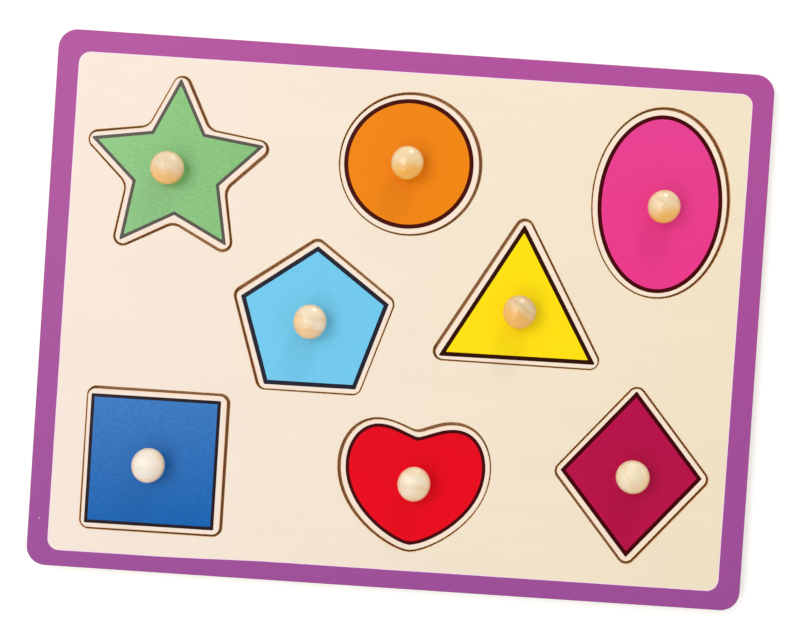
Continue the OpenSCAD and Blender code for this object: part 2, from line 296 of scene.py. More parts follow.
absent = add(tree, "ShaderNodeBsdfTransparent").outputs[0]
underneath = add(tree, "ShaderNodeNewGeometry").outputs["Backfacing"]
whole = add(tree, "ShaderNodeMixShader", {0: underneath, 1: above, 2: absent}).outputs[0]
tree.links.new(whole, tree.nodes["Material Output"].inputs["Surface"])

# Twelve metres across, in nine rectangles, the middle one 0.8 m wide. It lies 0.1 mm under the puzzle, and in one
# big rectangle so small a distance would be lost to rounding
FLOOR_LINES, FLOOR_DROP = (-6, -0.4, 0.4, 6), 0.1

floor_mesh = bpy.data.meshes.new("floor")
floor_mesh.from_pydata(
    [(x, y, 0) for y in FLOOR_LINES for x in FLOOR_LINES], [],
    [(i, i + 1, i + 5, i + 4) for i in range(11) if i % 4 < 3],
)
floor_mesh.materials.append(material)
floor = bpy.data.objects.new("floor", floor_mesh)
floor.location.z = -FLOOR_DROP * MM
scene.collection.objects.link(floor)


# Outlines, in millimetres, anticlockwise

# Corners of a rectangle, as shares of half its sides
QUARTERS = ((1, 1), (-1, 1), (-1, -1), (1, -1))
# Points nearer to the heart's upright axis than this lie on it
ON_AXIS = 1e-6


def ring_of(radii, count):
    """Corners of a figure that repeats round its centre, the first one at the top."""
    angles = [math.radians(90 + 360 * i / count) for i in range(count)]
    return [radii[i % len(radii)] * Vector((math.cos(a), math.sin(a))) for i, a in enumerate(angles)]


def rounded(points, grow, outward, inward):
    """Outline of a figure with its sides moved out by grow and its corners rounded."""
    outline = []
    for i, here in enumerate(points):
        before = (here - points[i - 1]).normalized()
        after = (points[(i + 1) % len(points)] - here).normalized()
        bend = math.atan2(before.cross(after), before.dot(after))
        radius = outward if bend > 0 else -inward
        first = math.atan2(-before.x, before.y)
        middle = first + bend / 2
        centre = here + (grow - radius) / math.cos(bend / 2) * Vector((math.cos(middle), math.sin(middle)))
        for k in range(CORNER_STEPS + 1):
            a = first + bend * k / CORNER_STEPS
            outline.append(centre + radius * Vector((math.cos(a), math.sin(a))))
    return outline


def disc(radius, steps=ROUND_STEPS):
    """Outline of a circle."""
    return [radius * Vector((math.cos(t), math.sin(t))) for t in [2 * math.pi * k / steps for k in range(steps)]]


def ellipse(grow):
    """Outline of the ellipse with its edge moved out by grow."""
    half = Vector((ELLIPSE_WIDTH / 2, ELLIPSE_HEIGHT / 2))
    outline = []
    for k in range(ELLIPSE_STEPS):
        c, s = math.cos(2 * math.pi * k / ELLIPSE_STEPS), math.sin(2 * math.pi * k / ELLIPSE_STEPS)
        outline.append(Vector((half.x * c, half.y * s)) + grow * Vector((half.y * c, half.x * s)).normalized())
    return outline


def heart_half():
    """Right half of the printed heart: each entry is a point and the direction out of the heart there."""
    half = []
    for curve in HEART_CURVES:
        c = [Vector((x * HEART_WIDTH / 2, y * HEART_HEIGHT / 2)) for x, y in curve]
        for k in range(0 if not half else 1, CURVE_STEPS + 1):
            t = k / CURVE_STEPS
            u = 1 - t
            point = u ** 3 * c[0] + 3 * u * u * t * c[1] + 3 * u * t * t * c[2] + t ** 3 * c[3]
            way = (u * u * (c[1] - c[0]) + 2 * u * t * (c[2] - c[1]) + t * t * (c[3] - c[2])).normalized()
            half.append((point, Vector((-way.y, way.x))))
    return half


def heart(grow, inward=0):
    """Outline of the heart moved out by grow. Inward is the radius of its notch, which stays sharp if it is 0."""
    half = heart_half()
    if inward:
        # The notch is an arc on the axis that meets the flank where a circle of that radius just touches it
        reach = grow + inward
        off_axis = [(point + reach * out).x for point, out in half]
        kept = next(i for i, x in enumerate(off_axis) if x > 0)
        mix = off_axis[kept] / (off_axis[kept] - off_axis[kept - 1])
        start = [half[kept][n] + mix * (half[kept - 1][n] - half[kept][n]) for n in (0, 1)]
        centre = Vector((0, (start[0] + reach * start[1]).y))
        last = math.atan2(-start[1].y, -start[1].x)
        down = -math.pi / 2
        angles = [down + (last - down) * k / CORNER_STEPS for k in range(CORNER_STEPS + 1)]
        right = [centre + inward * Vector((math.cos(a), math.sin(a))) for a in angles]
        right += [point + grow * out for (point, out), x in zip(half, off_axis) if x > 0]
    else:
        right = [point + grow * out for point, out in half]
    right = [point for point in right if point.x > -ON_AXIS]
    left = [Vector((-point.x, point.y)) for point in reversed(right) if point.x > ON_AXIS]
    return (right + left)[::-1]


CORNERS = {
    "star": ring_of([STAR_TIP, STAR_WAIST], 10),
    "pentagon": ring_of([PENTAGON_TIP], 5),
    "triangle": ring_of([TRIANGLE_TIP], 3),
    "square": [SQUARE_SIDE / 2 * Vector(quarter) for quarter in QUARTERS],
    "diamond": ring_of([DIAMOND_HEIGHT / 2, DIAMOND_WIDTH / 2], 4),
}


def figure(shape, grow, outward, inward, notch):
    """Outline of a shape with its edge moved out by grow, with the radii of its corners and of the heart's notch."""
    if shape == "circle":
        return disc(CIRCLE_RADIUS + grow)
    if shape == "ellipse":
        return ellipse(grow)
    if shape == "heart":
        return heart(grow, notch)
    return rounded(CORNERS[shape], grow, outward, inward)


def cut_outline(shape, gap):
    """Outline of a piece, or with a gap that of its cut-out."""
    return figure(shape, MARGIN + gap, CORNER + gap, NOTCH - gap, NOTCH - gap)


def print_outline(shape, inset):
    """Outline of the printed figure with its edge moved in by an inset."""
    return figure(shape, -inset, FILL_CORNER if inset > 0 else LINE_CORNER, PRINT_NOTCH, 0)


def placed(outline, turn, place):
    """The outline turned by an angle in degrees and moved to its place."""
    spin = Matrix.Rotation(math.radians(turn), 2)
    return [spin @ point + Vector(place) for point in outline]


def moved_out(outline, distance):
    """The outline with each point moved out along the middle of its corner."""
    moved = []
    for i, here in enumerate(outline):
        before = (here - outline[i - 1]).normalized()
        after = (outline[(i + 1) % len(outline)] - here).normalized()
        way = (before + after).normalized()
        moved.append(here + distance / way.dot(after) * Vector((way.y, -way.x)))
    return moved


def printed_edge(outline):
    """The outline with closer points that stray a little, as the mesh of a printing screen leaves them. The two
    waves are taken far apart in one noise, so that they don't match."""
    points = []
    for i, here in enumerate(outline):
        ahead = outline[(i + 1) % len(outline)]
        steps = max(1, round((ahead - here).length / PRINT_STEP))
        points += [here.lerp(ahead, k / steps) for k in range(steps)]
    waves = [
        noise.noise(Vector((p.x, p.y, 0)) / PRINT_SHORT_WAVE) + noise.noise(Vector((p.x, p.y, 50)) / PRINT_LONG_WAVE)
        for p in points
    ]
    stray = [PRINT_STRAY * wave for wave in waves]
    return [p + distance * Vector((p.x, p.y)).normalized() for p, distance in zip(points, stray)]


# Flat pieces

class Sheet:
    """A closed flat piece in the making: rings of points, walls between rings, and flat faces within them."""

    def __init__(self, name):
        self.name = name
        self.points, self.faces, self.finishes, self.curved, self.materials = [], [], [], [], []

    def ring(self, outline, height):
        """Adds an outline at a height and returns the numbers of its points."""
        start = len(self.points)
        self.points += [(point.x, point.y, height) for point in outline]
        return list(range(start, len(self.points)))

    def face(self, corners, material, curved):
        """Adds a face. Corners are numbers of points, anticlockwise from outside. A curved one is shaded smooth."""
        if material not in self.materials:
            self.materials.append(material)
        self.faces.append(corners)
        self.finishes.append(self.materials.index(material))
        self.curved.append(curved)

    def wall(self, rings, material, inside=False):
        """Joins each ring to the next one above. The wall of a hole faces inside."""
        for lower, upper in zip(rings, rings[1:]):
            for i in range(len(lower)):
                j = (i + 1) % len(lower)
                corners = [lower[i], lower[j], upper[j], upper[i]]
                self.face(corners[::-1] if inside else corners, material, True)

    def flat(self, outer, holes, material, up=True):
        """Fills the level region inside the outer ring and outside the holes."""
        numbers, regions = [], []
        for ring in [outer] + holes:
            regions.append(list(range(len(numbers), len(numbers) + len(ring))))
            numbers += ring
        places = [Vector(self.points[i][:2]) for i in numbers]
        _, _, faces, origins, _, owners = delaunay_2d_cdt(places, [], regions, 1, 1e-7)
        # Only what belongs to the outer region alone is kept, which leaves the holes open
        for face in [face for face, owner in zip(faces, owners) if owner == [0]]:
            corners = [numbers[origins[k][0]] for k in face]
            a, b, c = (Vector(self.points[i][:2]) for i in corners[:3])
            if ((b - a).cross(c - a) > 0) != up:
                corners.reverse()
            self.face(corners, material, False)

    def edge(self, outline, bottom, top, broken_bottom, broken_top, inside=False):
        """The rings of a wall with broken edges, in order: the lower edge, the upright part and the upper edge."""
        sign = 1 if inside else -1
        turns = [math.radians(90 * k / BREAK_STEPS) for k in range(BREAK_STEPS + 1)]
        lower, upper = [], []
        for a in turns:
            back = moved_out(outline, sign * broken_bottom * (1 - math.sin(a)))
            lower.append(self.ring(back, bottom + broken_bottom * (1 - math.cos(a))))
        for a in turns:
            back = moved_out(outline, sign * broken_top * (1 - math.cos(a)))
            upper.append(self.ring(back, top - broken_top * (1 - math.sin(a))))
        return lower, upper

    def finish(self):
        """The mesh object, in metres."""
        mesh = bpy.data.meshes.new(self.name)
        mesh.from_pydata([Vector(point) * MM for point in self.points], [], self.faces)
        for material in self.materials:
            mesh.materials.append(material)
        mesh.polygons.foreach_set("material_index", self.finishes)
        mesh.polygons.foreach_set("use_smooth", self.curved)
        mesh.validate()
        piece = bpy.data.objects.new(self.name, mesh)
        scene.collection.objects.link(piece)
        return piece


# Materials

def per_metre(size):
    """Scale of a pattern whose marks are this many millimetres apart."""
    return 1 / (size * MM)


def streaks(tree, place, squeeze, size, detail, roughness=0.5):
    """Noise with marks this many millimetres wide, drawn out along an axis whose share in squeeze is below 1."""
    squeezed = add(tree, "ShaderNodeMapping", {"Vector": place, "Scale": squeeze}).outputs[0]
    return add(tree, "ShaderNodeTexNoise", {
        "Vector": squeezed, "Scale": per_metre(size), "Detail": detail, "Roughness": roughness,
    }).outputs[0]


def dressed(material, colour, marks, strength, depth, values):
    """The material with its colour, with the relief that its marks make, depth in millimetres, and with the values
    that are the same all over it."""
    tree = material.node_tree
    shader = tree.nodes["Principled BSDF"]
    tree.links.new(colour, shader.inputs["Base Color"])
    relief = add(tree, "ShaderNodeBump", {"Height": marks, "Strength": strength, "Distance": depth * MM}).outputs[0]
    tree.links.new(relief, shader.inputs["Normal"])
    for name, value in values.items():
        shader.inputs[name].default_value = value
    return material


def soaked(weight, reach):
    """Values for light that soaks into pale wood and leaves it again, red the furthest: reach in millimetres. This
    is the warm glow of an edge or a flank that no lamp shines on."""
    return {"Subsurface Weight": weight, "Subsurface Radius": reach, "Subsurface Scale": MM}


def veneer(name, left, right, contrast, roughness, figure=0):
    """Basswood veneer, rotary cut, sanded and given a thin clear coat: pale and almost plain, with broad faint bands
    and short fine flecks along X. Its tone drifts from left to right, which is painted light: a paler, pinker left
    stands in for the lamps' sheen on that side, and a lifted right end evens out their falloff. Figure is how much the
    growth rings show, which rotary cutting draws out into long wavy lines."""
    material, tree, _ = new_material(name)
    place = add(tree, "ShaderNodeTexCoord").outputs["Object"]
    across = add(tree, "ShaderNodeSeparateXYZ", {0: place}).outputs["X"]
    # The sheet is 300 mm long, from -0.15 m to 0.15 m
    drift = add(tree, "ShaderNodeMapRange", {0: across, 1: -0.15, 2: 0.15}).outputs[0]
    # Growth bands about 12 mm wide and 50 mm long, and flecks about 0.9 mm wide and 6 mm long
    bands = streaks(tree, place, (0.24, 1, 1), 12, detail=2)
    fibres = streaks(tree, place, (0.14, 1, 1), 0.9, detail=2)
    pale = add(tree, "ShaderNodeMapRange", {0: fibres, 1: 0.64, 2: 0.76, 3: 0, 4: 1}, **GENTLE).outputs[0]
    dark = add(tree, "ShaderNodeMapRange", {0: fibres, 1: 0.36, 2: 0.24, 3: 0, 4: 1}, **GENTLE).outputs[0]
    flecks = add(tree, "ShaderNodeMath", {0: pale, 1: dark}, operation="SUBTRACT").outputs[0]
    # Painted sheen and painted light: the left tone is pinker for the lamps' sheen, the right one lifted against their
    # falloff
    tone = add(tree, "ShaderNodeMix", {0: drift, 6: linear(left), 7: linear(right)}, **COLOURS).outputs[2]
    mixed = add(tree, "ShaderNodeMath", {0: flecks, 1: 0.7, 2: bands}, operation="MULTIPLY_ADD").outputs[0]
    if figure:
        # Lines 4 to 15 mm apart: each is one height of a smooth field
        field = streaks(tree, place, (0.13, 1, 1), 60, detail=2, roughness=0.35)
        rings = add(tree, "ShaderNodeMath", {0: field, 1: 14}, operation="MULTIPLY").outputs[0]
        rings = add(tree, "ShaderNodeMath", {0: rings}, operation="FRACT").outputs[0]
        mixed = add(tree, "ShaderNodeMath", {0: rings, 1: -figure, 2: mixed}, operation="MULTIPLY_ADD").outputs[0]
    shade = add(tree, "ShaderNodeMapRange", {0: mixed, 1: 0, 2: 1, 3: 1 - contrast, 4: 1 + contrast},
                clamp=False).outputs[0]
    colour = add(tree, "ShaderNodeVectorMath", {0: tone, "Scale": shade}, operation="SCALE").outputs[0]
    return dressed(material, colour, fibres, 0.15, 0.03, {"Roughness": roughness, "Specular IOR Level": 0.3})


def ply_edge(name, face, core, glue, burn, roughness, marks):
    """The edge of three-ply board: two face plies cut along the grain and a core cut across it, with thin dark glue
    lines. Burn is how a laser tints it near the face, or None where a saw cut it; the tint fades out towards the foot
    as painted light. Marks are the distance between the upright marks that the cutter left."""
    material, tree, _ = new_material(name)
    place = add(tree, "ShaderNodeTexCoord").outputs["Object"]
    height = add(tree, "ShaderNodeSeparateXYZ", {0: place}).outputs["Z"]
    cores, lines = [], []
    for middle, ply in (((MIDDLE + FACE) / 2, TOP_CORE), (MIDDLE / 2, BACKING_CORE)):
        half = ply / 2 * MM
        off = add(tree, "ShaderNodeMath", {0: height, 1: middle * MM}, operation="SUBTRACT").outputs[0]
        off = add(tree, "ShaderNodeMath", {0: off}, operation="ABSOLUTE").outputs[0]
        cores.append(add(tree, "ShaderNodeMath", {0: off, 1: half}, operation="LESS_THAN").outputs[0])
        lines.append(add(tree, "ShaderNodeMath", {0: off, 1: half, 2: GLUE_LINE / 2 * MM},
                         operation="COMPARE").outputs[0])
    in_core = add(tree, "ShaderNodeMath", {0: cores[0], 1: cores[1]}, operation="MAXIMUM").outputs[0]
    on_line = add(tree, "ShaderNodeMath", {0: lines[0], 1: lines[1]}, operation="MAXIMUM").outputs[0]
    # Fibres run along X in the face plies and along Y in the core, so each shows its ends on the other sides. They
    # are finer than 0.1 mm on the real wood, and drawn 0.5 mm apart, so that they show
    long_grain = streaks(tree, place, (0.06, 1, 1), 0.5, detail=3)
    cross_grain = streaks(tree, place, (1, 0.06, 1), 0.5, detail=3)
    grain = add(tree, "ShaderNodeMix", {0: in_core, 2: long_grain, 3: cross_grain}).outputs[0]
    marked = streaks(tree, place, (1, 1, 0.05), marks, detail=2)
    plies = add(tree, "ShaderNodeMix", {0: in_core, 6: linear(face), 7: linear(core)}, **COLOURS).outputs[2]
    plies = add(tree, "ShaderNodeMix", {0: on_line, 6: plies, 7: linear(glue)}, **COLOURS).outputs[2]
    if burn:
        # The laser browns the edge near the face. Its browning fades out towards the foot, which is painted light: a
        # paler foot against the shade deep in the gap round a piece
        depth = add(tree, "ShaderNodeMapRange", {0: height, 1: MIDDLE * MM, 2: (FACE - 0.5) * MM}).outputs[0]
        burn_and_painted_light = add(tree, "ShaderNodeMix", {0: depth, 6: linear("#FFFFFF"), 7: linear(burn)}, **COLOURS).outputs[2]
        plies = add(tree, "ShaderNodeVectorMath", {0: plies, 1: burn_and_painted_light}, operation="MULTIPLY").outputs[0]
    mixed = add(tree, "ShaderNodeMath", {0: grain, 1: marked}, operation="ADD").outputs[0]
    shade = add(tree, "ShaderNodeMapRange", {0: mixed, 1: 0.6, 2: 1.4, 3: 0.8, 4: 1.1}).outputs[0]
    colour = add(tree, "ShaderNodeVectorMath", {0: plies, "Scale": shade}, operation="SCALE").outputs[0]
    glow = soaked(1, (3.2, 1.9, 1.1)) if burn else {}
    return dressed(material, colour, mixed, 0.4, 0.08, {"Roughness": roughness, "Specular IOR Level": 0.2, **glow})


def ink(name, colour, low_colour, middle, reach, roughness, shine, mottle):
    """Screen ink on sanded plywood, dried satin: one flat colour whose skin keeps a fine orange peel from the screen's
    mesh, mottled where the ink lies thin. Its colour drifts from the top of the print to the bottom: a slight drift is
    the ink's own tone, and where the top is much lighter, as on the square and the purple border, that lighter top is
    painted sheen. Middle and reach are the place and half the height of that drift."""
    material, tree, _ = new_material(name)
    place = add(tree, "ShaderNodeTexCoord").outputs["Object"]
    # The peel of a real print is about 0.3 mm fine. It is drawn at 1 mm, and longer along the grain, so that it shows
    peel = streaks(tree, place, (0.45, 1, 1), 1, detail=3, roughness=0.7)
    upward = add(tree, "ShaderNodeSeparateXYZ", {0: place}).outputs["Y"]
    drift = add(tree, "ShaderNodeMapRange",
                {0: upward, 1: (middle + reach) * MM, 2: (middle - reach) * MM}).outputs[0]
    # Painted sheen where the top colour is much lighter than the bottom one
    mixed = add(tree, "ShaderNodeMix", {0: drift, 6: linear(colour), 7: linear(low_colour)}, **COLOURS).outputs[2]
    shade = add(tree, "ShaderNodeMapRange", {0: peel, 1: 0.3, 2: 0.7, 3: 1 - mottle, 4: 1 + mottle}).outputs[0]
    toned = add(tree, "ShaderNodeVectorMath", {0: mixed, "Scale": shade}, operation="SCALE").outputs[0]
    return dressed(material, toned, peel, 0.4, 0.03, {"Roughness": roughness, "Specular IOR Level": shine})


def turned_wood(name, place, lacquer, pale, dark, rings_from, ring_width, contrast, shade_warmth, shaded_side, begins):
    """Turned hardwood under a clear satin lacquer. The grain stands upright, so the dome shows growth rings as flat
    bows. The flanks get a warmer tone, partly from their long grain and partly as painted shade and bounce light at the
    knob's rim. Rings_from is the direction in which the tree's middle lies, and contrast is how dark the rings are. One
    side is painted in warm yellow shade and bounce light: shade_warmth is how strong that is, shaded_side the direction
    of that side, and begins where it begins, in millimetres past the knob's middle."""
    material, tree, _ = new_material(name)
    own = add(tree, "ShaderNodeTexCoord").outputs["Object"]
    centred = add(tree, "ShaderNodeMapping", {"Vector": own, "Location": [-x for x in place]}).outputs[0]
    # The tree's middle lies 40 mm off the knob, so the rings cross it as wide bows
    away = math.radians(rings_from)
    pith = (40 * MM * math.cos(away), 40 * MM * math.sin(away), 0)
    shifted = add(tree, "ShaderNodeVectorMath", {0: centred, 1: pith}, operation="SUBTRACT").outputs[0]
    wander = add(tree, "ShaderNodeTexNoise", {"Vector": shifted, "Scale": per_metre(7), "Detail": 2}).outputs["Color"]
    wander = add(tree, "ShaderNodeVectorMath", {0: wander, "Scale": 2.5 * MM}, operation="SCALE").outputs[0]
    bent = add(tree, "ShaderNodeVectorMath", {0: shifted, 1: wander}, operation="ADD").outputs[0]
    leaned = add(tree, "ShaderNodeVectorMath", {0: bent, 1: (1, 1, 0.4)}, operation="MULTIPLY").outputs[0]
    reach = add(tree, "ShaderNodeVectorMath", {0: leaned}, operation="LENGTH").outputs["Value"]
    years = add(tree, "ShaderNodeTexNoise", {"W": reach, "Scale": per_metre(ring_width), "Detail": 4, "Roughness": 0.6},
                noise_dimensions="1D").outputs[0]
    rings = add(tree, "ShaderNodeMapRange", {0: years, 1: 0.42, 2: 0.68}, **GENTLE).outputs[0]
    # Pores are about 0.1 mm wide on the real wood. They are drawn at 0.4 mm, so that they show
    pores = streaks(tree, shifted, (1, 1, 0.15), 0.4, detail=3, roughness=0.7)
    share = add(tree, "ShaderNodeMath", {0: rings, 1: contrast}, operation="MULTIPLY").outputs[0]
    wood = add(tree, "ShaderNodeMix", {0: share, 6: linear(pale), 7: linear(dark)}, **COLOURS).outputs[2]
    # The flank warms from 4 mm off the knob's middle to its edge, partly long grain and partly painted shade and bounce
    # light at the rim, and the painted warm shade of one side spreads over 7 mm
    flat = add(tree, "ShaderNodeVectorMath", {0: centred, 1: (1, 1, 0)}, operation="MULTIPLY").outputs[0]
    out = add(tree, "ShaderNodeVectorMath", {0: flat}, operation="LENGTH").outputs["Value"]
    flank = add(tree, "ShaderNodeMapRange", {0: out, 1: 4 * MM, 2: KNOB_HEAD / 2 * MM, 3: 0, 4: 0.3},
                **GENTLE).outputs[0]
    warm = add(tree, "ShaderNodeMix", {0: flank, 6: wood, 7: linear("#E8B46A")}, **COLOURS).outputs[2]
    # Painted shade: one side of the knob is tinted warm yellow, as shade and bounce light from the ink colour it
    towards = [math.cos(math.radians(shaded_side)), math.sin(math.radians(shaded_side)), 0]
    side = add(tree, "ShaderNodeVectorMath", {0: centred, 1: towards}, operation="DOT_PRODUCT").outputs["Value"]
    side = add(tree, "ShaderNodeMapRange", {0: side, 1: begins * MM, 2: (begins + 7) * MM, 3: 0, 4: shade_warmth},
               **GENTLE).outputs[0]
    with_painted_shade = add(tree, "ShaderNodeMix", {0: side, 6: warm, 7: linear("#FFB93C")}, **COLOURS).outputs[2]
    shade = add(tree, "ShaderNodeMapRange", {0: pores, 1: 0.3, 2: 0.7, 3: 0.93, 4: 1.05}).outputs[0]
    colour = add(tree, "ShaderNodeVectorMath", {0: with_painted_shade, "Scale": shade}, operation="SCALE").outputs[0]
    return dressed(material, colour, pores, 0.2, 0.03, {
        "Roughness": 0.42, "Coat Weight": 1, "Coat Roughness": lacquer, **soaked(0.5, (2.4, 1.6, 0.9)),
    })


def steel(name, colour, roughness, apart):
    """Drawn steel: bright, with fine marks along its length that spread the light, so many millimetres apart."""
    material, tree, shader = new_material(name)
    place = add(tree, "ShaderNodeTexCoord").outputs["Object"]
    marks = streaks(tree, place, (1, 1, 0.1), apart, detail=3)
    shade = add(tree, "ShaderNodeMapRange", {0: marks, 1: 0.3, 2: 0.7, 3: 0.85, 4: 1}).outputs[0]
    toned = add(tree, "ShaderNodeVectorMath", {0: linear(colour)[:3], "Scale": shade}, operation="SCALE").outputs[0]
    tree.links.new(toned, shader.inputs["Base Color"])
    low, high = roughness - 0.06, roughness + 0.06
    rough = add(tree, "ShaderNodeMapRange", {0: marks, 1: 0.3, 2: 0.7, 3: low, 4: high}).outputs[0]
    tree.links.new(rough, shader.inputs["Roughness"])
    shader.inputs["Metallic"].default_value = 1
    return material


# The left and right tones of the board and the margin are painted light: a pinker left for the lamps' sheen, a lifted
# right against their falloff
board_veneer = veneer("basswood_plywood_sanded_clear_coated", "#F5E5D8", "#F2E2C4", contrast=0.028, roughness=0.5)
piece_veneer = veneer("basswood_plywood_sanded_bare_margin", "#F5E3D5", "#F9E5CF", contrast=0.02, roughness=0.5)
backing_veneer = veneer("basswood_plywood_sanded_uncoated", "#F2E2C6", "#EEDDBD", contrast=0.06, roughness=0.7,
                        figure=0.8)
# Painted bounce light: a pale orange band where the floor of the gap would catch warm light from the browned walls
gap_floor_painted_light = veneer("basswood_plywood_painted_warm_bounce_light", "#F4CA9A", "#F4CA9A", contrast=0.06, roughness=0.7)
sanded_plies = ply_edge("plywood_edge_sawn_and_sanded", face="#EBD3AE", core="#D3AE7C", glue="#8F6740",
                        burn=None, roughness=0.7, marks=1.5)
# Painted light: the browning fades out downwards, so the edge stays paler where the gap round a piece is in shade
burnt_plies = ply_edge("plywood_edge_laser_cut_and_browned", face="#FBDCB2", core="#F4D0A4", glue="#C8985E",
                       burn="#F8DEC8", roughness=0.5, marks=0.45)
# Painted sheen: the border's lighter ink at the top, and the undercoat's with it, stands in for the lamps' reflection
# there
purple = ink("purple_screen_ink_satin", "#B04E9B", "#9E4C99", 0, BORDER_REACH,
             roughness=0.35, shine=0.2, mottle=0.04)
undercoat = ink("pale_screen_undercoat", "#FBE3F4", "#F7DAF0", 0, BORDER_REACH,
                roughness=0.5, shine=0.3, mottle=0.03)
pin_steel = steel("panel_pin_bright_steel_wire", "#C9C4BA", roughness=0.35, apart=0.3)
zinc = steel("wood_screw_zinc_plated_steel", "#C4C6C6", roughness=0.3, apart=0.4)


# Boards

def board_outline():
    """Outline of both boards."""
    corners = [Vector((BOARD_LENGTH / 2 * x, BOARD_WIDTH / 2 * y)) for x, y in QUARTERS]
    return rounded(corners, 0, BOARD_CORNER, 0)


pin_outlines = [placed(disc(PIN_HOLE, PIN_STEPS), 0, pin) for pin in PINS]

top = Sheet("printed_top_board")
lower, upper = top.edge(board_outline(), MIDDLE, FACE, CUT_EDGE, SANDED_EDGE)
top.wall(lower + upper[:1], sanded_plies)
top.wall(upper, purple)
low_holes, face_holes = [], []
for shape, facts in SHAPES.items():
    outline = placed(cut_outline(shape, GAP), 0, facts["cut"])
    foot = top.ring(outline, MIDDLE)
    _, lip = top.edge(outline, MIDDLE, FACE, 0, CUT_EDGE, inside=True)
    top.wall([foot] + lip, burnt_plies, inside=True)
    low_holes.append(foot)
    face_holes.append(lip[-1])
pin_feet = [top.ring(outline, MIDDLE) for outline in pin_outlines]
pin_mouths = [top.ring(outline, FACE) for outline in pin_outlines]
for foot, mouth in zip(pin_feet, pin_mouths):
    top.wall([foot, mouth], sanded_plies, inside=True)
panel = rounded([Vector(corner) for corner in PANEL], 0, PANEL_CORNER, PANEL_CORNER)
coat_edge = top.ring(printed_edge(moved_out(panel, -UNDERCOAT)), FACE)
ink_edge = top.ring(printed_edge(panel), FACE)
top.flat(upper[-1], [ink_edge] + pin_mouths, purple)
top.flat(ink_edge, [coat_edge], undercoat)
top.flat(coat_edge, face_holes, board_veneer)
top.flat(lower[0], low_holes + pin_feet, backing_veneer, up=False)
top_board = top.finish()
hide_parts("top_board")
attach(top_board, "board")

backing = Sheet("eased_backing_board")
lower, upper = backing.edge(board_outline(), 0, MIDDLE, SANDED_EDGE, CUT_EDGE)
backing.wall(lower + upper, sanded_plies)
pin_feet = [backing.ring(outline, FACE - PIN_DEPTH) for outline in pin_outlines]
pin_mouths = [backing.ring(outline, MIDDLE) for outline in pin_outlines]
for foot, mouth in zip(pin_feet, pin_mouths):
    backing.wall([foot, mouth], sanded_plies, inside=True)
    backing.flat(foot, [], sanded_plies)
outer_rings, inner_rings = [], []
for shape, facts in SHAPES.items():
    for rings, gap in ((outer_rings, GAP + WARM_BAND_OUT), (inner_rings, GAP - WARM_BAND_IN)):
        rings.append(backing.ring(placed(cut_outline(shape, gap), 0, facts["cut"]), MIDDLE))
    # The painted bounce light on the floor of the gap
    backing.flat(outer_rings[-1], [inner_rings[-1]], gap_floor_painted_light)
    backing.flat(inner_rings[-1], [], backing_veneer)
backing.flat(upper[-1], pin_mouths + outer_rings, backing_veneer)
backing.flat(lower[0], [], backing_veneer, up=False)
backing_board = backing.finish()
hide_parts("backing_board")
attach(backing_board, "board")
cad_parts["panel_pins"].data.materials.clear()
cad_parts["panel_pins"].data.materials.append(pin_steel)


# Knobs

def arc(centre, radii, start, end, first=0):
    """Points of an arc, as radii and heights. Its angles are counted from straight up, towards the outside."""
    turns = [start + (end - start) * k / ARC_STEPS for k in range(first, ARC_STEPS + 1)]
    return [(centre[0] + radii[0] * math.sin(a), centre[1] + radii[1] * math.cos(a)) for a in turns]


def knob_profile():
    """Half the outline of a knob, as radii and heights: the lathe's mark on top, the dome, the shoulder, the
    underside, the neck's cove, and the pilot hole."""
    head, neck, pilot = KNOB_HEAD / 2, KNOB_NECK / 2, KNOB_PILOT / 2
    shoulder_middle, dome_middle = head - KNOB_SHOULDER, KNOB_HEIGHT - KNOB_DOME
    belly = dome_middle + math.sqrt((KNOB_DOME - KNOB_SHOULDER) ** 2 - shoulder_middle ** 2)
    lean = math.asin(shoulder_middle / (KNOB_DOME - KNOB_SHOULDER))
    meet = math.acos(neck / head)
    underside = (belly - KNOB_NECK_HEIGHT) / math.sin(meet)
    quarter = math.pi / 2
    mark = math.asin(CENTRE_MARK / 2 / KNOB_DOME)
    return [
        (0, KNOB_HEIGHT - CENTRE_MARK_DEPTH), (CENTRE_MARK / 5, KNOB_HEIGHT - 0.8 * CENTRE_MARK_DEPTH),
        *arc((0, dome_middle), (KNOB_DOME, KNOB_DOME), mark, lean),
        *arc((shoulder_middle, belly), (KNOB_SHOULDER, KNOB_SHOULDER), lean, quarter, first=1),
        *arc((0, belly), (head, underside), quarter, quarter + meet, first=1),
        *arc((neck + KNOB_FLARE, KNOB_COVE), (KNOB_FLARE, KNOB_COVE), -quarter, -math.pi),
        (pilot, 0), (pilot, KNOB_PILOT_DEPTH), (0, KNOB_PILOT_DEPTH),
    ]


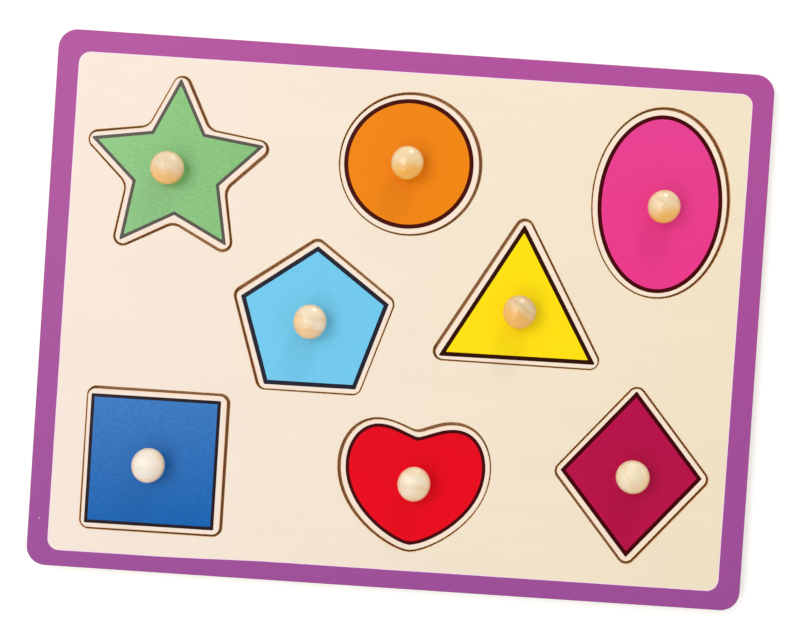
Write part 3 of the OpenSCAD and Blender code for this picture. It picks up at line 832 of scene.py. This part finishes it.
def lathe_tree():
    """Turns the profile that an object's own mesh holds, as radius and height, round an upright axis."""
    tree = bpy.data.node_groups.new("lathe", "GeometryNodeTree")
    inputs = {
        "Profile": "Geometry", "Facets": "Int", "Place": "Vector", "Oval Long": "Float", "Oval Short": "Float",
        "Oval Turn": "Float", "Sharp Above": "Float", "Material": "Material",
    }
    for name, kind in inputs.items():
        tree.interface.new_socket(name, in_out="INPUT", socket_type="NodeSocket" + kind)
    tree.interface.new_socket("Geometry", in_out="OUTPUT", socket_type="NodeSocketGeometry")
    given = add(tree, "NodeGroupInput").outputs
    rows = add(tree, "GeometryNodeAttributeDomainSize", {"Geometry": given["Profile"]},
               component="MESH").outputs["Point Count"]
    columns = add(tree, "ShaderNodeMath", {0: given["Facets"], 1: 1}, operation="ADD").outputs[0]
    grid = add(tree, "GeometryNodeMeshGrid", {"Vertices X": rows, "Vertices Y": columns}).outputs["Mesh"]
    # Point number = row times columns plus column
    number = add(tree, "GeometryNodeInputIndex").outputs[0]
    row = add(tree, "ShaderNodeMath", {0: number, 1: columns}, operation="DIVIDE").outputs[0]
    row = add(tree, "ShaderNodeMath", {0: row}, operation="FLOOR").outputs[0]
    column = add(tree, "ShaderNodeMath", {0: number, 1: columns}, operation="MODULO").outputs[0]
    own = add(tree, "GeometryNodeInputPosition").outputs[0]
    sampled = add(tree, "GeometryNodeSampleIndex", {"Geometry": given["Profile"], "Value": own, "Index": row},
                  data_type="FLOAT_VECTOR", domain="POINT").outputs["Value"]
    parts = add(tree, "ShaderNodeSeparateXYZ", {0: sampled}).outputs
    share = add(tree, "ShaderNodeMath", {0: column, 1: given["Facets"]}, operation="DIVIDE").outputs[0]
    angle = add(tree, "ShaderNodeMath", {0: share, 1: math.tau}, operation="MULTIPLY").outputs[0]
    arm = add(tree, "ShaderNodeCombineXYZ", {"X": parts["X"], "Z": parts["Z"]}).outputs[0]
    turned = add(tree, "ShaderNodeVectorRotate", {"Vector": arm, "Angle": angle}, rotation_type="Z_AXIS").outputs[0]
    oval = add(tree, "ShaderNodeCombineXYZ", {"X": given["Oval Long"], "Y": given["Oval Short"], "Z": 1}).outputs[0]
    dried = add(tree, "ShaderNodeVectorMath", {0: turned, 1: oval}, operation="MULTIPLY").outputs[0]
    dried = add(tree, "ShaderNodeVectorRotate", {"Vector": dried, "Angle": given["Oval Turn"]},
                rotation_type="Z_AXIS").outputs[0]
    there = add(tree, "ShaderNodeVectorMath", {0: dried, 1: given["Place"]}, operation="ADD").outputs[0]
    shaped = add(tree, "GeometryNodeSetPosition", {"Geometry": grid, "Position": there}).outputs[0]
    closed = add(tree, "GeometryNodeMergeByDistance", {"Geometry": shaped, "Distance": 0.001 * MM}).outputs[0]
    smooth = add(tree, "GeometryNodeSetShadeSmooth", {"Geometry": closed}).outputs[0]
    bend = add(tree, "GeometryNodeInputMeshEdgeAngle").outputs["Unsigned Angle"]
    sharp = add(tree, "FunctionNodeCompare", {"A": bend, "B": given["Sharp Above"]},
                data_type="FLOAT", operation="GREATER_THAN").outputs[0]
    creased = add(tree, "GeometryNodeSetShadeSmooth", {"Geometry": smooth, "Selection": sharp, "Shade Smooth": False},
                  domain="EDGE").outputs[0]
    real = add(tree, "GeometryNodeRealizeInstances", {"Geometry": creased}).outputs[0]
    finished = add(tree, "GeometryNodeSetMaterial", {"Geometry": real, "Material": given["Material"]}).outputs[0]
    add(tree, "NodeGroupOutput", {"Geometry": finished})
    return tree


def evaluated(name, profile, tree, values):
    """Runs a tree on a profile with its named inputs set, and returns the result as a plain mesh object."""
    line = bpy.data.meshes.new(name + "_profile")
    points = [(radius * MM, 0, height * MM) for radius, height in profile]
    line.from_pydata(points, [(i, i + 1) for i in range(len(profile) - 1)], [])
    blank = bpy.data.objects.new(name + "_profile", line)
    scene.collection.objects.link(blank)
    modifier = blank.modifiers.new("lathe", "NODES")
    modifier.node_group = tree
    for socket in tree.interface.items_tree:
        if socket.in_out == "INPUT" and socket.name in values:
            modifier[socket.identifier] = values[socket.name]
    blank.update_tag()
    depsgraph = bpy.context.evaluated_depsgraph_get()
    mesh = bpy.data.meshes.new_from_object(blank.evaluated_get(depsgraph), depsgraph=depsgraph)
    blank.modifiers.remove(modifier)
    bpy.data.objects.remove(blank)
    mesh.name = name
    piece = bpy.data.objects.new(name, mesh)
    scene.collection.objects.link(piece)
    return piece


# Shape pieces with their knobs and screws

lathe = lathe_tree()
profile = knob_profile()
for shape, facts in SHAPES.items():
    body = shape + "_body"
    low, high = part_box(shape + "_knob")
    knob_place = Vector(((low.x + high.x) / 2, (low.y + high.y) / 2, low.z))
    under_knob = (knob_place.x / MM, knob_place.y / MM)
    centre = Vector(facts["cut"]) + Vector(facts["rest"])
    fill_ink = ink(shape + "_screen_ink_satin", *facts["fill"], centre.y, FIGURE_REACH,
                   roughness=0.25, shine=facts["shine"], mottle=facts["mottle"])
    line_ink = ink(shape + "_outline_screen_ink_satin", facts["line"], facts["line"], centre.y, FIGURE_REACH,
                   roughness=0.25, shine=0.15, mottle=0.04)

    piece = Sheet(f"printed_{shape}_piece")
    outline = placed(cut_outline(shape, 0), facts["turn"], centre)
    print_place = centre + Vector(facts["print_off"])
    print_turn = facts["turn"] + facts["print_turn"]
    lower, upper = piece.edge(outline, MIDDLE, FACE, CUT_EDGE, CUT_EDGE)
    piece.wall(lower + upper, burnt_plies)
    hole = [
        piece.ring(placed(disc(radius, HOLE_STEPS), 0, under_knob), height)
        for radius, height in (
            (HOLE_MOUTH, MIDDLE), (HOLE_MOUTH, MIDDLE + HOLE_SINK),
            (HOLE_SHANK, MIDDLE + HOLE_SINK + HOLE_MOUTH - HOLE_SHANK), (HOLE_SHANK, FACE),
        )
    ]
    piece.wall(hole, sanded_plies, inside=True)
    line_edge, fill_edge = [
        piece.ring(printed_edge(placed(print_outline(shape, inset), print_turn, print_place)), FACE)
        for inset in (-INK_SPREAD, facts["line_width"] - INK_SPREAD)
    ]
    piece.flat(upper[-1], [line_edge], piece_veneer)
    piece.flat(line_edge, [fill_edge], line_ink)
    piece.flat(fill_edge, [hole[-1]], fill_ink)
    piece.flat(lower[0], [hole[0]], backing_veneer, up=False)
    done = piece.finish()
    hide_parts(shape + "_piece")
    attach(done, body)

    wood = turned_wood(shape + "_knob_turned_wood_lacquered", knob_place, facts["lacquer"], **facts["wood"])
    long, short, along = facts["oval"]
    knob = evaluated(f"turned_{shape}_knob", profile, lathe, {
        "Facets": KNOB_FACETS, "Place": knob_place, "Oval Long": long, "Oval Short": short,
        "Oval Turn": math.radians(along), "Sharp Above": math.radians(KNOB_CREASE), "Material": wood,
    })
    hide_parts(shape + "_knob")
    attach(knob, body)
    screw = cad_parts[shape + "_knob_screw"]
    screw.data.materials.clear()
    screw.data.materials.append(zinc)
